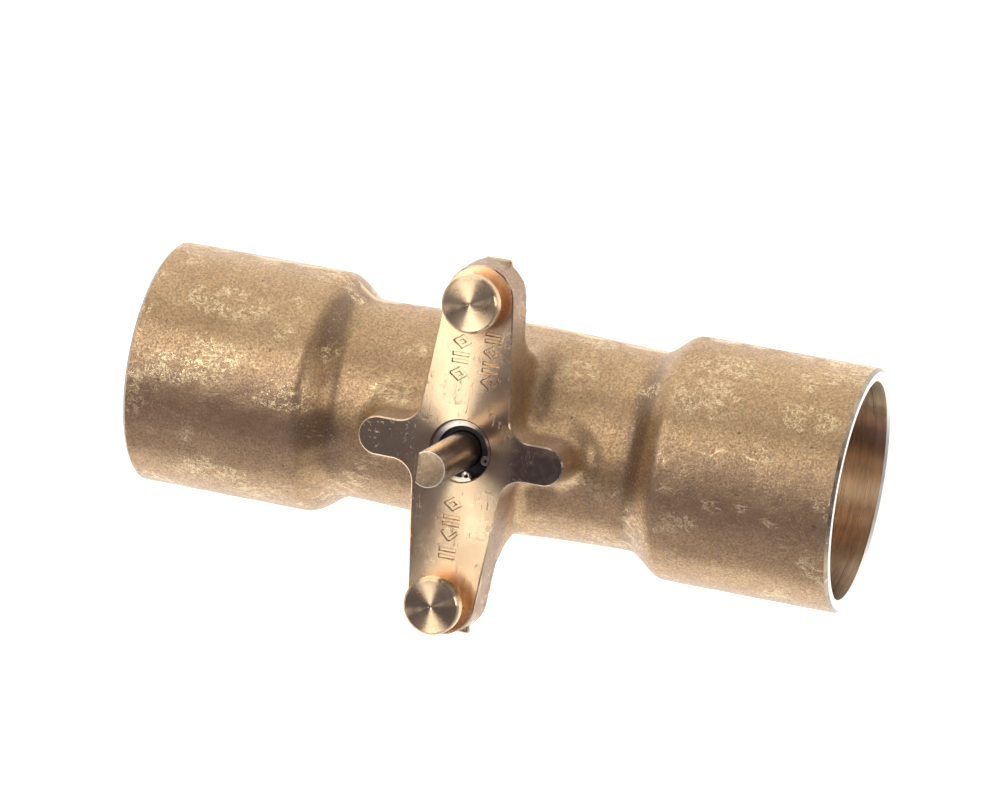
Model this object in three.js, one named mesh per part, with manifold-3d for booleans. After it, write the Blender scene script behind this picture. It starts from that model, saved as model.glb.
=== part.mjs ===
// Ball valve for a heating circuit: a forged brass body with two solder sockets, a cross-shaped
// pad for a quarter-turn actuator, and a floating ball between two seats inside.
// Millimetres. Origin at the ball's centre, +X along the flow towards the outlet, +Z up the stem,
// +Y along the pad's long arms. The valve is drawn open.

import * as THREE from 'three';
import { mergeVertices } from 'three/addons/utils/BufferGeometryUtils.js';
import Module from 'manifold-3d';

const wasm = await Module();
wasm.setup();

// ---- Driving dimensions -------------------------------------------------------------------------

const HALF_LENGTH = 48.0;
const SOCKET_OUTER_R = 16.1;
const SOCKET_BORE_R = 14.35;
const SOCKET_DEPTH = 23.1;
const TUBE_STOP_X = HALF_LENGTH - SOCKET_DEPTH;
const MOUTH_CHAMFER = 0.4;

const NECK_R = 13.65;
const NECK_END_R = 13.3;
const NECK_MIDDLE_X = 8.0;
const NECK_END_X = 19.6;
const SHOULDER_END_X = 24.8;

const PAD_Z = 21.0;
const ARM_ROOT_HALF_WIDTH = 5.9;
const ARM_END_R = 4.5;
const STUD_Y = 19.75;
const SHORT_ARM_R = 2.55;
const SHORT_ARM_CENTRE_X = 11.2;
const ROOT_FILLET_R = 3.0;
const ARM_UNDERSIDE_Z = 15.5;

const BALL_R = 10.8;
const PORT_R = 7.5;
const SLOT_HALF_WIDTH = 1.55;
const SLOT_FLOOR_Z = 8.6;

const CHAMBER_R = 11.3;
const INLET_SHOULDER_X = -11.6;
const INLET_PASSAGE_R = 9.0;
const THREAD_START_X = 14.0;
const THREAD_R = 11.9;
const THREAD_END_X = 20.0;
const OUTLET_RELIEF_R = 12.2;

const SEAT_BACK_X = 11.5;
const SEAT_R = 11.2;
const SEAT_BORE_R = 7.7;
const SEAT_LIP_R = 9.4;
const SEAT_GAP = 0.15;
const SEAT_NOTCH_R = 9.95;
const SEAT_NOTCH_DEPTH = 1.5;
const SEAT_RING_R = 10.62;
const SEAT_RING_SECTION_R = 0.52;

const RETAINER_FRONT_X = 11.7;
const RETAINER_BACK_X = 18.6;
const RETAINER_BORE_R = 8.6;
const RETAINER_GROOVE_X = [12.3, 13.5];
const RETAINER_GROOVE_R = 10.1;
const RETAINER_RING_R = 10.69;
const RETAINER_RING_SECTION_R = 0.5;
const RETAINER_SLOTS = 4;
const SLOT_WIDTH = 2.4;
const SLOT_DEPTH = 2.0;

const STEM_BORE_R = 4.0;
const STEM_THROAT_R = 3.3;
const STEM_LEDGE_Z = 12.3;
const STEM_DRUM_R = 3.9;
const STEM_SHANK_R = 2.35;
const STEM_TIP_Z = 34.8;
const STEM_FLAT_DISTANCE = 1.3;
const STEM_FLAT_LENGTH = 10.0;
const TANG_R = 3.15;
const TANG_HALF_WIDTH = 1.45;
const TANG_BOTTOM_Z = 8.85;
const DRUM_BOTTOM_Z = 12.9;
const DRUM_TOP_Z = 18.0;
const STEM_RING_Z = [14.3, 16.7];
const STEM_RING_R = 3.2;
const STEM_RING_SECTION_R = 0.73;
const STEM_GROOVE_R = 2.4;
const STEM_GROOVE_WIDTH = 1.8;

const WASHER_R = 3.92;
const WASHER_BORE_R = 3.24;
const BUSHING_BORE_R = 2.42;

const CLIP_GROOVE_R = 4.5;
const CLIP_GROOVE_Z = [19.5, 20.4];
const CLIP_THICKNESS = 0.75;
const CLIP_INNER_R = 3.25;
const CLIP_SHIFT = 0.15;
const CLIP_GAP_DEGREES = 32;
const CLIP_LUG_R = 0.62;
const CLIP_LUG_CENTRE_R = 3.42;
const CLIP_LUG_DEGREES = 29;
const CLIP_TURN_DEGREES = -43;

const STUD_HEAD_R = 3.75;
const STUD_HEAD_TOP_Z = 25.3;
const STUD_HEAD_BOTTOM_Z = 23.7;
const STUD_PIN_R = 2.4;
const STUD_PIN_BOTTOM_Z = 17.0;
const PRESS_GAP = 0.05;

const BODY_SEGMENTS = 40;
const INNER_SEGMENTS = 32;
const STEM_SEGMENTS = 28;
const O_RING_SIDES = 6;

// ---- Materials ----------------------------------------------------------------------------------

function metal(color, roughness) {
  return new THREE.MeshStandardMaterial({ color, roughness, metalness: 1.0 });
}

function polymer(color, roughness) {
  return new THREE.MeshStandardMaterial({ color, roughness, metalness: 0.0 });
}

const forgedBrass = () => metal(0xb8976c, 0.55);
const turnedBrass = () => metal(0xd2b26e, 0.3);
const chrome = () => metal(0xd9dcdf, 0.12);
const springSteel = () => metal(0x9a9a98, 0.35);
const seatPolymer = () => polymer(0xf0eee8, 0.45);
const blackRubber = () => polymer(0x18181a, 0.6);
const blackPolymer = () => polymer(0x241f1c, 0.5);

// ---- Geometry helpers ---------------------------------------------------------------------------

// Welds the vertices, drops collapsed triangles and turns the faces outwards.
function closedGeometry(source) {
  const bare = source.clone();
  for (const name of Object.keys(bare.attributes)) {
    if (name !== 'position') bare.deleteAttribute(name);
  }
  const welded = mergeVertices(bare, 1e-4);
  const position = welded.getAttribute('position');
  const index = welded.getIndex().array;
  const kept = [];
  const a = new THREE.Vector3();
  const b = new THREE.Vector3();
  const c = new THREE.Vector3();
  let volume = 0;
  for (let i = 0; i < index.length; i += 3) {
    const corners = [index[i], index[i + 1], index[i + 2]];
    if (new Set(corners).size < 3) continue;
    a.fromBufferAttribute(position, corners[0]);
    b.fromBufferAttribute(position, corners[1]);
    c.fromBufferAttribute(position, corners[2]);
    volume += a.dot(b.cross(c));
    kept.push(corners);
  }
  const facing = volume < 0 ? kept.map(([p, q, r]) => [p, r, q]) : kept;
  welded.setIndex(facing.flat());
  return welded;
}

function solid(geometry) {
  const closed = closedGeometry(geometry);
  return new wasm.Manifold(new wasm.Mesh({
    numProp: 3,
    vertProperties: new Float32Array(closed.getAttribute('position').array),
    triVerts: new Uint32Array(closed.getIndex().array),
  }));
}

function geometryOf(manifold) {
  const mesh = manifold.getMesh();
  const geometry = new THREE.BufferGeometry();
  geometry.setAttribute('position', new THREE.BufferAttribute(new Float32Array(mesh.vertProperties), 3));
  geometry.setIndex(Array.from(mesh.triVerts));
  return geometry;
}

// A body of revolution about local Z. The profile lists [z, radius] points; it closes on itself
// unless both of its ends lie on the axis.
function turned(profile, segments) {
  const points = profile.map(([z, r]) => new THREE.Vector2(r, z));
  const onAxis = profile[0][1] === 0 && profile.at(-1)[1] === 0;
  if (!onAxis) points.push(points[0].clone());
  const lathe = new THREE.LatheGeometry(points, segments);
  lathe.rotateX(Math.PI / 2);
  return closedGeometry(lathe);
}

function alongX(geometry) {
  return geometry.clone().rotateY(Math.PI / 2);
}

function cylinder(radius, low, high, segments) {
  return turned([[low, 0], [low, radius], [high, radius], [high, 0]], segments);
}

function block(low, high) {
  const size = high.map((value, axis) => value - low[axis]);
  const geometry = new THREE.BoxGeometry(...size);
  return geometry.translate(...low.map((value, axis) => value + size[axis] / 2));
}

// Points on an arc, first and last included; angles in degrees.
function arc(centre, radius, from, to, steps) {
  return Array.from({ length: steps + 1 }, (_, i) => {
    const angle = THREE.MathUtils.degToRad(from + ((to - from) * i) / steps);
    return [centre[0] + radius * Math.cos(angle), centre[1] + radius * Math.sin(angle)];
  });
}

function prism(points, depth) {
  const shape = new THREE.Shape(points.map(([x, y]) => new THREE.Vector2(x, y)));
  return new THREE.ExtrudeGeometry(shape, { depth, bevelEnabled: false });
}

function node(name, geometry, material) {
  const mesh = new THREE.Mesh(geometry, material);
  mesh.name = name;
  return mesh;
}

// ---- Valve body ---------------------------------------------------------------------------------

// Outer radius of the shoulder between neck and socket: a smooth S from one to the other.
function shoulderProfile(steps) {
  return Array.from({ length: steps + 1 }, (_, i) => {
    const t = i / steps;
    const x = NECK_END_X + (SHOULDER_END_X - NECK_END_X) * t;
    const rise = t * t * (3 - 2 * t);
    return [x, NECK_END_R + (SOCKET_OUTER_R - NECK_END_R) * rise];
  });
}

function bodyOutside() {
  const right = [
    [NECK_MIDDLE_X, NECK_R],
    ...shoulderProfile(6),
    [HALF_LENGTH - MOUTH_CHAMFER, SOCKET_OUTER_R],
    [HALF_LENGTH, SOCKET_OUTER_R - MOUTH_CHAMFER],
    [HALF_LENGTH, 0],
  ];
  const left = right.map(([x, r]) => [-x, r]).reverse();
  return alongX(turned([...left, ...right], BODY_SEGMENTS));
}

function bodyInside() {
  const past = HALF_LENGTH + 2;
  const mouthR = SOCKET_BORE_R + MOUTH_CHAMFER;
  return alongX(turned([
    [-past, 0],
    [-past, mouthR],
    [-HALF_LENGTH, mouthR],
    [-HALF_LENGTH + MOUTH_CHAMFER, SOCKET_BORE_R],
    [-TUBE_STOP_X, SOCKET_BORE_R],
    [-TUBE_STOP_X, OUTLET_RELIEF_R],
    [-THREAD_END_X, INLET_PASSAGE_R],
    [INLET_SHOULDER_X, INLET_PASSAGE_R],
    [INLET_SHOULDER_X, CHAMBER_R],
    [THREAD_START_X, CHAMBER_R],
    [THREAD_START_X, THREAD_R],
    [THREAD_END_X, THREAD_R],
    [THREAD_END_X, OUTLET_RELIEF_R],
    [TUBE_STOP_X, OUTLET_RELIEF_R],
    [TUBE_STOP_X, SOCKET_BORE_R],
    [HALF_LENGTH - MOUTH_CHAMFER, SOCKET_BORE_R],
    [HALF_LENGTH, mouthR],
    [past, mouthR],
    [past, 0],
  ], BODY_SEGMENTS));
}

// One quarter of the pad's outline, from the short arm's tip round to the long arm's tip.
function padQuarter() {
  const filletX = ARM_ROOT_HALF_WIDTH + ROOT_FILLET_R;
  const filletY = SHORT_ARM_R + ROOT_FILLET_R;
  return [
    ...arc([SHORT_ARM_CENTRE_X, 0], SHORT_ARM_R, 0, 90, 5),
    ...arc([filletX, filletY], ROOT_FILLET_R, 270, 180, 4),
    ...arc([0, STUD_Y], ARM_END_R, 0, 90, 6),
  ];
}

function mirrored(points, signX, signY) {
  const moved = points.map(([x, y]) => [x * signX, y * signY]);
  return signX * signY < 0 ? moved.reverse() : moved;
}

function withoutRepeats(points) {
  return points.filter(([x, y], i) => {
    const [px, py] = points[(i + points.length - 1) % points.length];
    return Math.hypot(x - px, y - py) > 1e-6;
  });
}

function padOutline() {
  const quarter = padQuarter();
  return withoutRepeats([
    ...mirrored(quarter, 1, 1),
    ...mirrored(quarter, -1, 1),
    ...mirrored(quarter, -1, -1),
    ...mirrored(quarter, 1, -1),
  ]);
}

// The pad seen from the side: level under the arm ends, then a gusset down to the neck.
function padSide() {
  const tipY = STUD_Y + ARM_END_R + 1;
  const half = [
    [tipY, PAD_Z],
    [tipY, ARM_UNDERSIDE_Z],
    [STUD_Y - 2, ARM_UNDERSIDE_Z],
    [15.2, 14.3],
    [13.2, 11.6],
    [12.2, 6.0],
  ];
  return [...half, ...half.map(([y, z]) => [-y, z]).reverse()];
}

function pad() {
  const deepest = 6.0;
  const fromAbove = prism(padOutline(), PAD_Z - deepest).translate(0, 0, deepest);
  const reach = 2 * SHORT_ARM_CENTRE_X;
  // The prism's own x, y and z become the body's y, z and x.
  const cyclic = new THREE.Matrix4().makeBasis(
    new THREE.Vector3(0, 1, 0),
    new THREE.Vector3(0, 0, 1),
    new THREE.Vector3(1, 0, 0),
  );
  const fromTheSide = prism(padSide(), 2 * reach).applyMatrix4(cyclic).translate(-reach, 0, 0);
  return solid(fromAbove).intersect(solid(fromTheSide));
}

function stemBore() {
  const [clipLow, clipHigh] = CLIP_GROOVE_Z;
  return turned([
    [BALL_R - 2, 0],
    [BALL_R - 2, STEM_THROAT_R],
    [STEM_LEDGE_Z, STEM_THROAT_R],
    [STEM_LEDGE_Z, STEM_BORE_R],
    [clipLow, STEM_BORE_R],
    [clipLow, CLIP_GROOVE_R],
    [clipHigh, CLIP_GROOVE_R],
    [clipHigh, STEM_BORE_R],
    [PAD_Z + 1, STEM_BORE_R],
    [PAD_Z + 1, 0],
  ], STEM_SEGMENTS);
}

function studHole(y) {
  const drillRoom = 0.3;
  const hole = cylinder(STUD_PIN_R + PRESS_GAP, STUD_PIN_BOTTOM_Z - drillRoom, PAD_Z + 1, STEM_SEGMENTS);
  return hole.translate(0, y, 0);
}

function valveBody() {
  let body = solid(bodyOutside()).add(pad());
  for (const cut of [bodyInside(), stemBore(), studHole(STUD_Y), studHole(-STUD_Y)]) {
    body = body.subtract(solid(cut));
  }
  return node('valve_body', geometryOf(body), forgedBrass());
}

// ---- Ball, seats and retainer -------------------------------------------------------------------

function ball() {
  const portEdge = THREE.MathUtils.radToDeg(Math.asin(PORT_R / BALL_R));
  const skin = arc([0, 0], BALL_R, portEdge, 180 - portEdge, 14);
  const sphere = solid(alongX(turned(skin, INNER_SEGMENTS)));
  const slot = block(
    [-SLOT_HALF_WIDTH, -BALL_R, SLOT_FLOOR_Z],
    [SLOT_HALF_WIDTH, BALL_R, BALL_R + 1],
  );
  return node('ball', geometryOf(sphere.subtract(solid(slot))), chrome());
}

// A cup seat with its ball face towards local -Z and a notch for its O-ring at the back.
function seatGeometry() {
  const faceR = BALL_R + SEAT_GAP;
  const from = THREE.MathUtils.radToDeg(Math.asin(SEAT_BORE_R / faceR));
  const to = THREE.MathUtils.radToDeg(Math.asin(SEAT_LIP_R / faceR));
  const face = arc([0, 0], faceR, from, to, 4);
  const lipX = face.at(-1)[0];
  return turned([
    ...face,
    [lipX, SEAT_R],
    [SEAT_BACK_X - SEAT_NOTCH_DEPTH, SEAT_R],
    [SEAT_BACK_X - SEAT_NOTCH_DEPTH, SEAT_NOTCH_R],
    [SEAT_BACK_X, SEAT_NOTCH_R],
    [SEAT_BACK_X, SEAT_BORE_R],
  ], INNER_SEGMENTS);
}

function oRing(centreR, sectionR) {
  const corners = arc([0, centreR], sectionR, 0, 360, O_RING_SIDES).slice(0, -1);
  return turned(corners, STEM_SEGMENTS);
}

// Everything that repeats on both sides of the ball faces it from +X or, turned round, from -X.
function side(name, geometry, material, offset, direction) {
  const mesh = node(name, geometry, material);
  mesh.rotation.y = (direction * Math.PI) / 2;
  mesh.position.x = direction * offset;
  return mesh;
}

function seatAssembly(prefix, direction) {
  const ringX = SEAT_BACK_X - SEAT_NOTCH_DEPTH / 2;
  return [
    side(`${prefix}_seat`, seatGeometry(), seatPolymer(), 0, direction),
    side(`${prefix}_seat_o_ring`, oRing(SEAT_RING_R, SEAT_RING_SECTION_R), blackRubber(), ringX, direction),
  ];
}

function seatRetainer() {
  const noseR = SEAT_R;
  const threadR = THREAD_R - PRESS_GAP;
  const [grooveStart, grooveEnd] = RETAINER_GROOVE_X;
  const ring = turned([
    [RETAINER_FRONT_X, RETAINER_BORE_R],
    [RETAINER_FRONT_X, noseR],
    [grooveStart, noseR],
    [grooveStart, RETAINER_GROOVE_R],
    [grooveEnd, RETAINER_GROOVE_R],
    [grooveEnd, noseR],
    [THREAD_START_X + 0.2, noseR],
    [THREAD_START_X + 0.2, threadR],
    [RETAINER_BACK_X, threadR],
    [RETAINER_BACK_X, RETAINER_BORE_R],
  ], INNER_SEGMENTS);
  let retainer = solid(alongX(ring));
  for (let i = 0; i < RETAINER_SLOTS / 2; i += 1) {
    const slot = block(
      [RETAINER_BACK_X - SLOT_DEPTH, -THREAD_R - 1, -SLOT_WIDTH / 2],
      [RETAINER_BACK_X + 1, THREAD_R + 1, SLOT_WIDTH / 2],
    );
    slot.rotateX((i * 2 * Math.PI) / RETAINER_SLOTS + Math.PI / 4);
    retainer = retainer.subtract(solid(slot));
  }
  return node('seat_retainer', geometryOf(retainer), turnedBrass());
}

function retainerRing() {
  const middle = (RETAINER_GROOVE_X[0] + RETAINER_GROOVE_X[1]) / 2;
  return side('retainer_o_ring', oRing(RETAINER_RING_R, RETAINER_RING_SECTION_R), blackRubber(), middle, 1);
}

// ---- Stem and its seals -------------------------------------------------------------------------

function stem() {
  const half = STEM_GROOVE_WIDTH / 2;
  const grooves = STEM_RING_Z.flatMap((z) => [
    [z - half, STEM_DRUM_R],
    [z - half, STEM_GROOVE_R],
    [z + half, STEM_GROOVE_R],
    [z + half, STEM_DRUM_R],
  ]);
  const chamfer = 0.25;
  const turnedStem = turned([
    [TANG_BOTTOM_Z, 0],
    [TANG_BOTTOM_Z, TANG_R],
    [DRUM_BOTTOM_Z, TANG_R],
    [DRUM_BOTTOM_Z, STEM_DRUM_R],
    ...grooves,
    [DRUM_TOP_Z, STEM_DRUM_R],
    [DRUM_TOP_Z, STEM_SHANK_R],
    [STEM_TIP_Z - chamfer, STEM_SHANK_R],
    [STEM_TIP_Z, STEM_SHANK_R - chamfer],
    [STEM_TIP_Z, 0],
  ], STEM_SEGMENTS);
  const wide = 2 * STEM_DRUM_R;
  const tangTop = BALL_R + 0.4;
  let body = solid(turnedStem);
  for (const direction of [1, -1]) {
    const near = direction * TANG_HALF_WIDTH;
    const far = direction * wide;
    const flat = block(
      [Math.min(near, far), -wide, TANG_BOTTOM_Z - 1],
      [Math.max(near, far), wide, tangTop],
    );
    body = body.subtract(solid(flat));
  }
  const driveFlat = block(
    [-wide, -wide, STEM_TIP_Z - STEM_FLAT_LENGTH],
    [-STEM_FLAT_DISTANCE, wide, STEM_TIP_Z + 1],
  );
  body = body.subtract(solid(driveFlat));
  return node('stem', geometryOf(body), turnedBrass());
}

function stemRings() {
  const names = ['stem_lower_o_ring', 'stem_upper_o_ring'];
  return names.map((name, i) => {
    const ring = node(name, oRing(STEM_RING_R, STEM_RING_SECTION_R), blackRubber());
    ring.position.z = STEM_RING_Z[i];
    return ring;
  });
}

// A flat ring that fits the stem's bore.
function washer(name, innerR, low, high, material) {
  const thickness = high - low;
  const profile = [[0, innerR], [0, WASHER_R], [thickness, WASHER_R], [thickness, innerR]];
  const mesh = node(name, turned(profile, STEM_SEGMENTS), material);
  mesh.position.z = low;
  return mesh;
}

// Internal retaining ring: widest opposite its gap, with a lug on each side of the gap.
function retainingRing() {
  const half = CLIP_GAP_DEGREES / 2;
  const outer = arc([0, 0], CLIP_GROOVE_R - 0.1, half, 360 - half, 28);
  const inner = arc([CLIP_SHIFT, 0], CLIP_INNER_R, 360 - CLIP_LUG_DEGREES, CLIP_LUG_DEGREES, 24);
  let ring = solid(prism([...outer, ...inner], CLIP_THICKNESS));
  for (const sign of [1, -1]) {
    const angle = THREE.MathUtils.degToRad(sign * CLIP_LUG_DEGREES);
    const lug = cylinder(CLIP_LUG_R, 0, CLIP_THICKNESS, 12);
    lug.translate(CLIP_LUG_CENTRE_R * Math.cos(angle), CLIP_LUG_CENTRE_R * Math.sin(angle), 0);
    ring = ring.add(solid(lug));
  }
  const mesh = node('stem_retaining_ring', geometryOf(ring), springSteel());
  mesh.position.z = CLIP_GROOVE_Z[0] + PRESS_GAP;
  mesh.rotation.z = THREE.MathUtils.degToRad(CLIP_TURN_DEGREES);
  return mesh;
}

// ---- Actuator studs -----------------------------------------------------------------------------

// A plain pin pressed into the pad, with a flat head on top.
function stud(name, y) {
  const chamfer = 0.3;
  const profile = [
    [STUD_PIN_BOTTOM_Z, 0],
    [STUD_PIN_BOTTOM_Z, STUD_PIN_R],
    [STUD_HEAD_BOTTOM_Z, STUD_PIN_R],
    [STUD_HEAD_BOTTOM_Z, STUD_HEAD_R],
    [STUD_HEAD_TOP_Z - chamfer, STUD_HEAD_R],
    [STUD_HEAD_TOP_Z, STUD_HEAD_R - chamfer],
    [STUD_HEAD_TOP_Z, 0],
  ];
  const mesh = node(name, turned(profile, STEM_SEGMENTS), turnedBrass());
  mesh.position.y = y;
  return mesh;
}

// ---- Assembly -----------------------------------------------------------------------------------

const thrustWasher = washer(
  'stem_thrust_washer',
  WASHER_BORE_R,
  STEM_LEDGE_Z + PRESS_GAP,
  DRUM_BOTTOM_Z - PRESS_GAP,
  seatPolymer(),
);
const guideBushing = washer(
  'stem_guide_bushing',
  BUSHING_BORE_R,
  DRUM_TOP_Z + PRESS_GAP,
  CLIP_GROOVE_Z[0] - PRESS_GAP,
  blackPolymer(),
);

const housing = new THREE.Group();
housing.add(
  valveBody(),
  ...seatAssembly('inlet', -1),
  ...seatAssembly('outlet', 1),
  seatRetainer(),
  retainerRing(),
  thrustWasher,
  guideBushing,
  retainingRing(),
  stud('rear_actuator_stud', STUD_Y),
  stud('front_actuator_stud', -STUD_Y),
);

const turningStem = new THREE.Group();
turningStem.add(stem(), ...stemRings());

const turningBall = new THREE.Group();
turningBall.add(ball());

const group = new THREE.Group();
group.add(housing, turningStem, turningBall);

export default group;
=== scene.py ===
"""Ball valve: the visible surfaces of every piece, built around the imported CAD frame.

Lengths in the shape code are millimetres, as on a drawing, and meshes are written in metres.
Frame: origin at the ball's centre, +X to the outlet, +Y along the pad's long arms, +Z up the stem.
"""
import math

import bmesh
import bpy
import numpy as np
import openvdb
from mathutils import Matrix, Quaternion, Vector


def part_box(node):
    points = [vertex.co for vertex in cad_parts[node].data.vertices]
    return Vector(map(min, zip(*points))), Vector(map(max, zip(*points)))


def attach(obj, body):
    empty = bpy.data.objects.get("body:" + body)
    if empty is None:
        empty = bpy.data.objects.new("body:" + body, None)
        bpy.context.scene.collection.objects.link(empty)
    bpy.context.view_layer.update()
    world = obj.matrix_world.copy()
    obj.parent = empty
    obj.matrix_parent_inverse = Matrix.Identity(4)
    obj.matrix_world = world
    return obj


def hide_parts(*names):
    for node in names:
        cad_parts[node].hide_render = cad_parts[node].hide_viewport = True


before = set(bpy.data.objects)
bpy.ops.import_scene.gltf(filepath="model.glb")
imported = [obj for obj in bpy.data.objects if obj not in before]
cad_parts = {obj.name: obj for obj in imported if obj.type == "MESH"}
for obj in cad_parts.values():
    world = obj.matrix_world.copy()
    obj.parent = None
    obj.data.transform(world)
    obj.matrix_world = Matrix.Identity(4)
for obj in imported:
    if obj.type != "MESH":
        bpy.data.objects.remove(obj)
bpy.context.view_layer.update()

MM = 0.001


def box_mm(node):
    """Lowest and highest corner of a CAD node, in millimetres."""
    low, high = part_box(node)
    return Vector(low) / MM, Vector(high) / MM


# ---- Places read from the frame, and the radii that belong to them ----

BODY_LOW, BODY_HIGH = box_mm("valve_body")
HALF_LENGTH = BODY_HIGH.x
PAD_Z = BODY_HIGH.z
SOCKET_R = -BODY_LOW.z
ARM_TIP_Y = BODY_HIGH.y

WALL = 1.75
SOCKET_BORE_R = SOCKET_R - WALL
TUBE_STOP_X = HALF_LENGTH - 23.1
NECK_R = 13.65
NECK_END_R = 13.25
NECK_END_X = 19.6
SHOULDER_END_X = 24.8

ARM_ROOT_HALF_WIDTH = 5.9
ARM_END_R = 4.5
STUD_Y = ARM_TIP_Y - ARM_END_R
SHORT_ARM_R = 2.55
SHORT_ARM_X = 11.2
ROOT_FILLET_R = 3.0
ARM_UNDERSIDE_Z = 15.5
DRAFT = math.tan(math.radians(3.0))

# ---- Mesh helpers ----


def add_object(name, data):
    """Puts a mesh, lamp or camera in the scene."""
    made = bpy.data.objects.new(name, data)
    bpy.context.scene.collection.objects.link(made)
    return made


def mesh_from(name, points_mm, faces):
    mesh = bpy.data.meshes.new(name)
    mesh.from_pydata([tuple(p) for p in np.asarray(points_mm) * MM], [], faces)
    mesh.validate()
    mesh.update()
    return mesh


def outward(mesh):
    """Turns the faces of a closed mesh outwards."""
    bm = bmesh.new()
    bm.from_mesh(mesh)
    bmesh.ops.recalc_face_normals(bm, faces=bm.faces)
    if bm.calc_volume(signed=True) < 0:
        bmesh.ops.reverse_faces(bm, faces=bm.faces)
    bm.to_mesh(mesh)
    bm.free()
    return mesh


def shade(mesh, angle=30.0):
    """Smooth shading, broken at edges sharper than the angle in degrees."""
    mesh.shade_smooth()
    mesh.set_sharp_from_angle(angle=math.radians(angle))
    return mesh


def rounded(profile, radius, steps=3, closed=True):
    """A profile of (z, r) points with its corners rounded; points on the axis stay sharp."""
    points = [Vector(p) for p in profile]
    count = len(points)
    result = []
    for i, corner in enumerate(points):
        at_end = not closed and i in (0, count - 1)
        if at_end or corner.y < 1e-6:
            result.append(corner)
            continue
        before = points[(i - 1) % count] - corner
        after = points[(i + 1) % count] - corner
        reach = min(radius, before.length * 0.45, after.length * 0.45)
        start = corner + before.normalized() * reach
        end = corner + after.normalized() * reach
        for k in range(steps + 1):
            t = k / steps
            result.append(start * (1 - t) ** 2 + corner * 2 * t * (1 - t) + end * t * t)
    return [tuple(p) for p in result]


def turned_mesh(name, profile, segments=96, axis="Z"):
    """A closed body of revolution. Profile points are (along, radius) in millimetres."""
    rows = []
    points = []
    for along, radius in profile:
        if radius < 1e-6:
            rows.append([len(points)])
            points.append((0.0, 0.0, along))
            continue
        rows.append(list(range(len(points), len(points) + segments)))
        for k in range(segments):
            angle = 2 * math.pi * k / segments
            points.append((radius * math.cos(angle), radius * math.sin(angle), along))
    faces = []
    on_axis = profile[0][1] < 1e-6 and profile[-1][1] < 1e-6
    pairs = len(rows) - 1 if on_axis else len(rows)
    for i in range(pairs):
        a, b = rows[i], rows[(i + 1) % len(rows)]
        if len(a) == 1 and len(b) == 1:
            continue
        for k in range(segments):
            n = (k + 1) % segments
            ring = (a[0],) if len(a) == 1 else (a[k], a[n])
            other = (b[0],) if len(b) == 1 else (b[n], b[k])
            faces.append(ring + other)
    points = np.array(points)
    if axis == "X":
        points = points[:, [2, 0, 1]]
    return outward(mesh_from(name, points, faces))


def between(name, lower, upper):
    """A closed body between two outlines with equally many points, listed anticlockwise."""
    count = len(lower)
    faces = [tuple(reversed(range(count))), tuple(range(count, 2 * count))]
    faces += [(i, (i + 1) % count, count + (i + 1) % count, count + i) for i in range(count)]
    return outward(mesh_from(name, [*lower, *upper], faces))


def prism_mesh(name, outline, low, high):
    return between(name, *([(x, y, z) for x, y in outline] for z in (low, high)))


def block_mesh(low, high):
    (x0, y0, z0), (x1, y1, z1) = low, high
    return prism_mesh("block", [(x0, y0), (x1, y0), (x1, y1), (x0, y1)], z0, z1)


def applied(piece):
    """The piece's mesh with its modifiers applied. The piece itself is removed."""
    bpy.context.view_layer.update()
    evaluated = piece.evaluated_get(bpy.context.evaluated_depsgraph_get())
    result = bpy.data.meshes.new_from_object(evaluated)
    result.materials.clear()
    bpy.data.objects.remove(piece)
    return result


def boolean(mesh, tool, operation="DIFFERENCE"):
    """Returns mesh joined with or cut by the tool mesh."""
    base = add_object("boolean_base", mesh)
    cutter = add_object("boolean_tool", tool)
    modifier = base.modifiers.new("cut", "BOOLEAN")
    modifier.operation = operation
    modifier.solver = "MANIFOLD"
    modifier.object = cutter
    result = applied(base)
    bpy.data.objects.remove(cutter)
    return result


def bevelled(mesh, width, angle):
    """Rounds every edge sharper than the angle."""
    piece = add_object("bevel_base", mesh)
    modifier = piece.modifiers.new("bevel", "BEVEL")
    modifier.width = width * MM
    modifier.segments = 2
    modifier.limit_method = "ANGLE"
    modifier.angle_limit = math.radians(angle)
    return applied(piece)


# ---- The forged blank ----


def smoothstep(t):
    t = np.clip(t, 0.0, 1.0)
    return t * t * (3 - 2 * t)


def arc(centre, radius, start, end, steps):
    return [
        (centre[0] + radius * math.cos(math.radians(start + (end - start) * i / steps)),
         centre[1] + radius * math.sin(math.radians(start + (end - start) * i / steps)))
        for i in range(steps + 1)
    ]


def pad_outline(fineness=1):
    """Corner-free outline of the cross-shaped face, anticlockwise from the +X arm's tip."""
    fillet = (ARM_ROOT_HALF_WIDTH + ROOT_FILLET_R, SHORT_ARM_R + ROOT_FILLET_R)
    quarter = (
        arc((SHORT_ARM_X, 0), SHORT_ARM_R, 0, 90, 12 * fineness)
        + arc(fillet, ROOT_FILLET_R, 270, 183, 12 * fineness)
        + arc((0, STUD_Y), ARM_END_R, 3, 90, 14 * fineness)
    )
    half = quarter + [(-x, y) for x, y in reversed(quarter[:-1])]
    return np.array(half + [(-x, -y) for x, y in half[1:-1]])


def polygon_distance(px, py, polygon):
    """Signed distance from points to a closed polygon, negative inside."""
    shape = np.broadcast(px, py).shape
    nearest = np.full(shape, 1e9)
    inside = np.zeros(shape, bool)
    for (ax, ay), (bx, by) in zip(polygon, np.roll(polygon, -1, axis=0)):
        ex, ey = bx - ax, by - ay
        wx, wy = px - ax, py - ay
        t = np.clip((wx * ex + wy * ey) / max(ex * ex + ey * ey, 1e-12), 0, 1)
        nearest = np.minimum(nearest, (wx - t * ex) ** 2 + (wy - t * ey) ** 2)
        crosses = (ay > py) != (by > py)
        if abs(ey) > 1e-12:
            inside ^= crosses & (px < ax + ex * (py - ay) / ey)
    return np.where(inside, -1, 1) * np.sqrt(nearest)


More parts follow.
